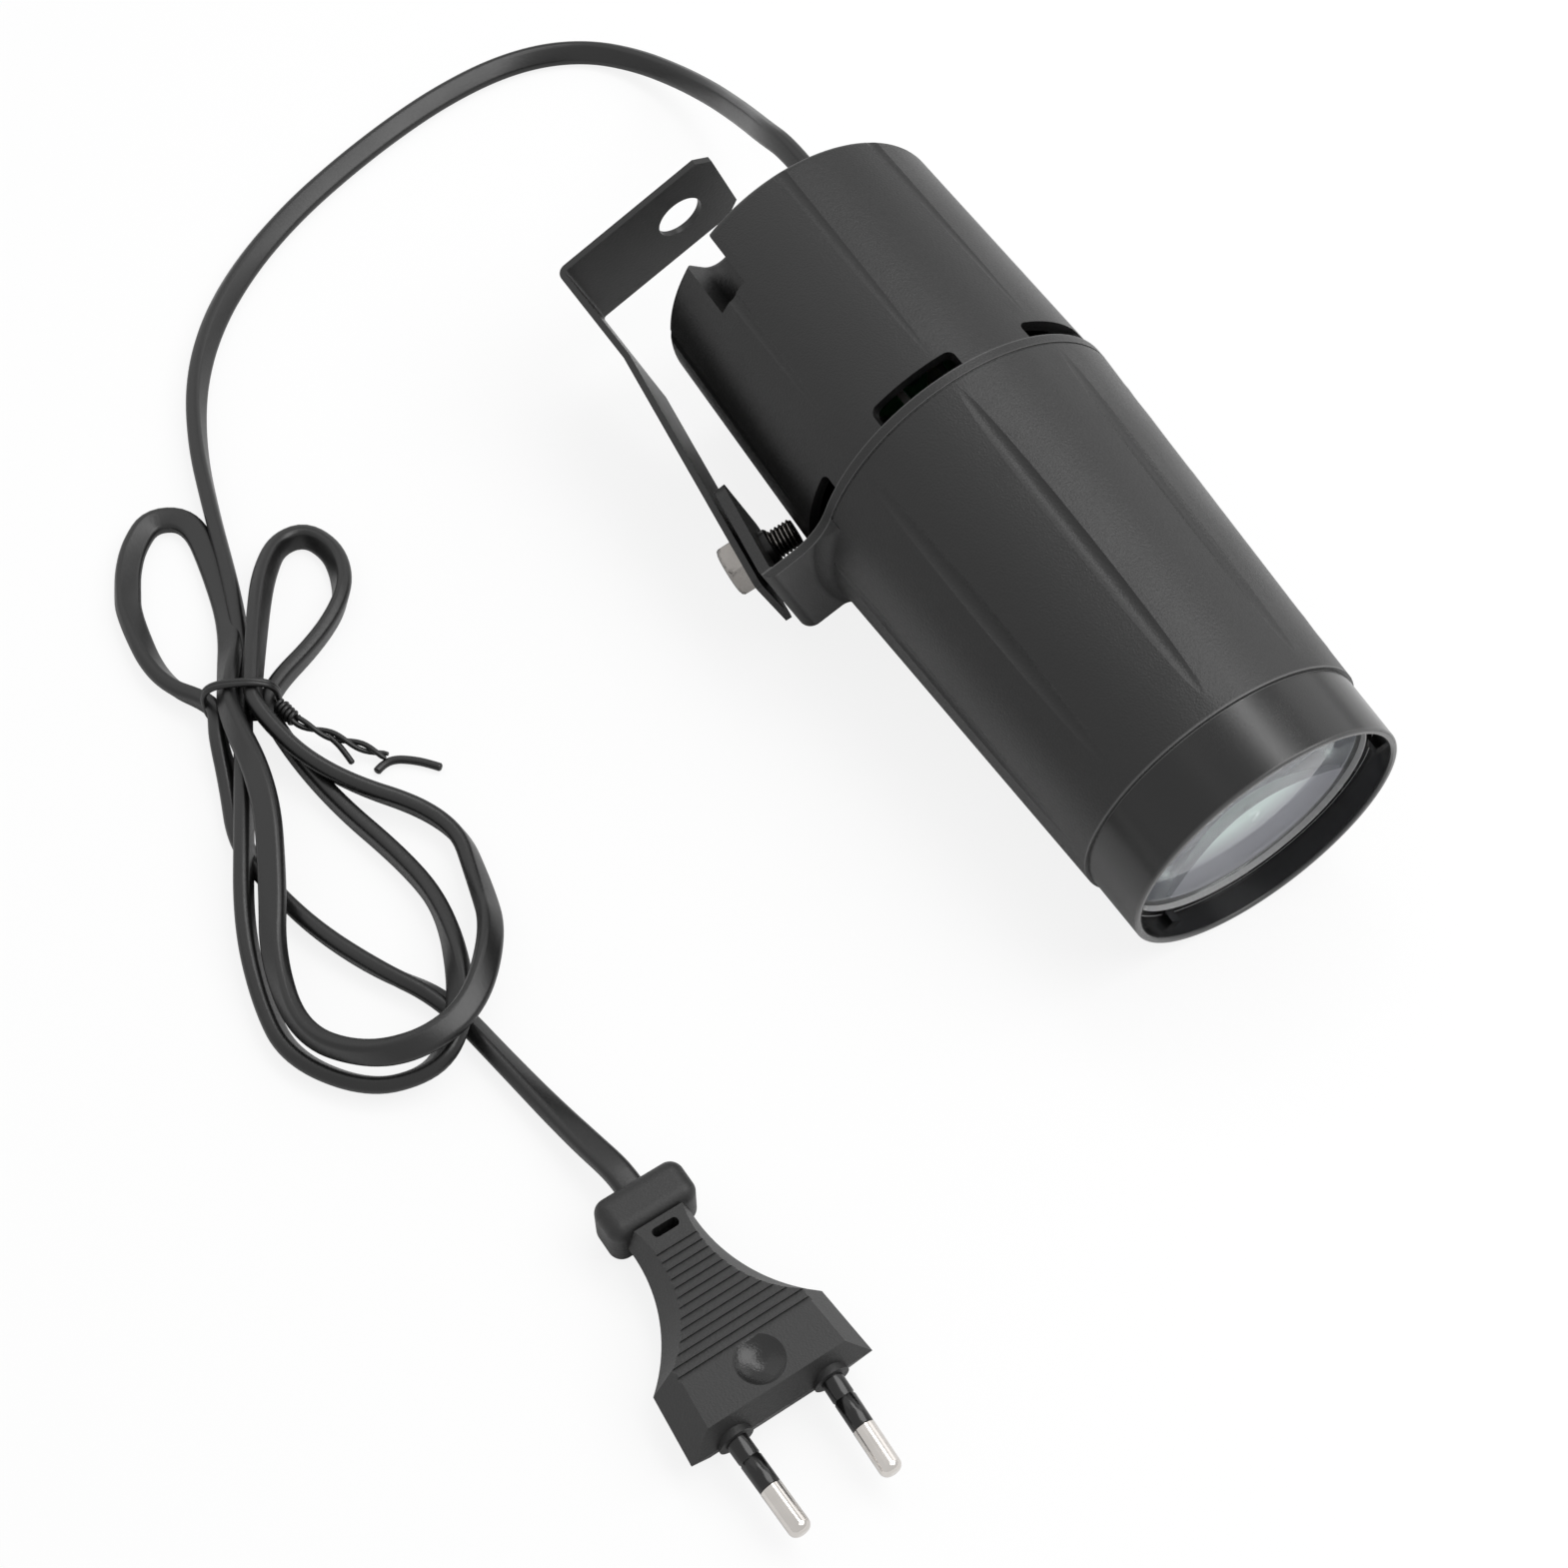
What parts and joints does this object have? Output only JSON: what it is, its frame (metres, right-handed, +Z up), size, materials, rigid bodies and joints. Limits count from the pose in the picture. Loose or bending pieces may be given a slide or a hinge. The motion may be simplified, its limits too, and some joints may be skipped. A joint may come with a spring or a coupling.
{
  "type": "pinspot light",
  "caption": "Small cylindrical pinspot lamp with a narrow-beam lens, a tilting strip bracket with a fixing hole, and a bundled mains lead with a flat two-pin plug.",
  "frame": {"origin": "on the table, under the centre of the box of the lamp and its bracket, the lead and plug left out", "axes": "+X along the lamp towards its lens, +Z up from the table, the mounting bracket's arm and the plug towards -Y"},
  "size_m": [0.323, 0.1939, 0.0664],
  "materials": {
    "housing": "satin, fine texture",
    "bezel": "satin gloss",
    "gasket": "matt",
    "lens": "polished",
    "ring": "satin",
    "heat_sink": "plain",
    "board_white": "matt",
    "emitter": "gloss",
    "optic": "polished",
    "holder": "matt",
    "screws": "plain",
    "shell_screws": "nickel plated",
    "board_green": "matt",
    "transformer": "tape",
    "capacitors": "sleeved",
    "chip": "gloss",
    "bolt": "nickel plated",
    "nut": "blackened",
    "washer": "matt",
    "bracket": "satin black",
    "gland": "matt",
    "wires": "gloss",
    "cord": "semi-gloss",
    "tie": "matt",
    "plug": "fine texture",
    "sleeve": "gloss",
    "pins": "bright nickel"
  },
  "bodies": {
    "lamp": {"front_shell": "housing", "rear_shell": "housing", "front_bezel": "bezel", "lens_gasket": "gasket", "main_lens": "lens", "lens_snap_ring": "ring", "heat_sink": "heat_sink", "led_board": "board_white", "led_emitter": "emitter", "led_optic": "optic", "optic_holder": "holder", "board_screws": "screws", "shell_screws": "shell_screws", "driver_board": "board_green", "driver_transformer": "transformer", "driver_capacitors": "capacitors", "driver_rectifier": "chip", "pivot_bolt": "bolt", "pivot_nut": "nut", "pivot_washer": "washer", "cord_gland": "gland", "input_wires": "wires", "led_wires": "wires", "cord_lead": "cord", "cord_hank": "cord", "cord_tail": "cord", "twist_tie": "tie", "plug_body": "plug", "plug_sleeves": "sleeve", "plug_pins": "pins"},
    "bracket": {"bracket": "bracket"}
  },
  "joints": [
    {"name": "bracket_tilt", "type": "hinge", "parent": "lamp", "child": "bracket", "pos_m": [-0.01988, -0.03381, 0.01663], "axis": [-0.1342, -0.917, -0.3757], "range_deg": [-138, 148]}
  ]
}
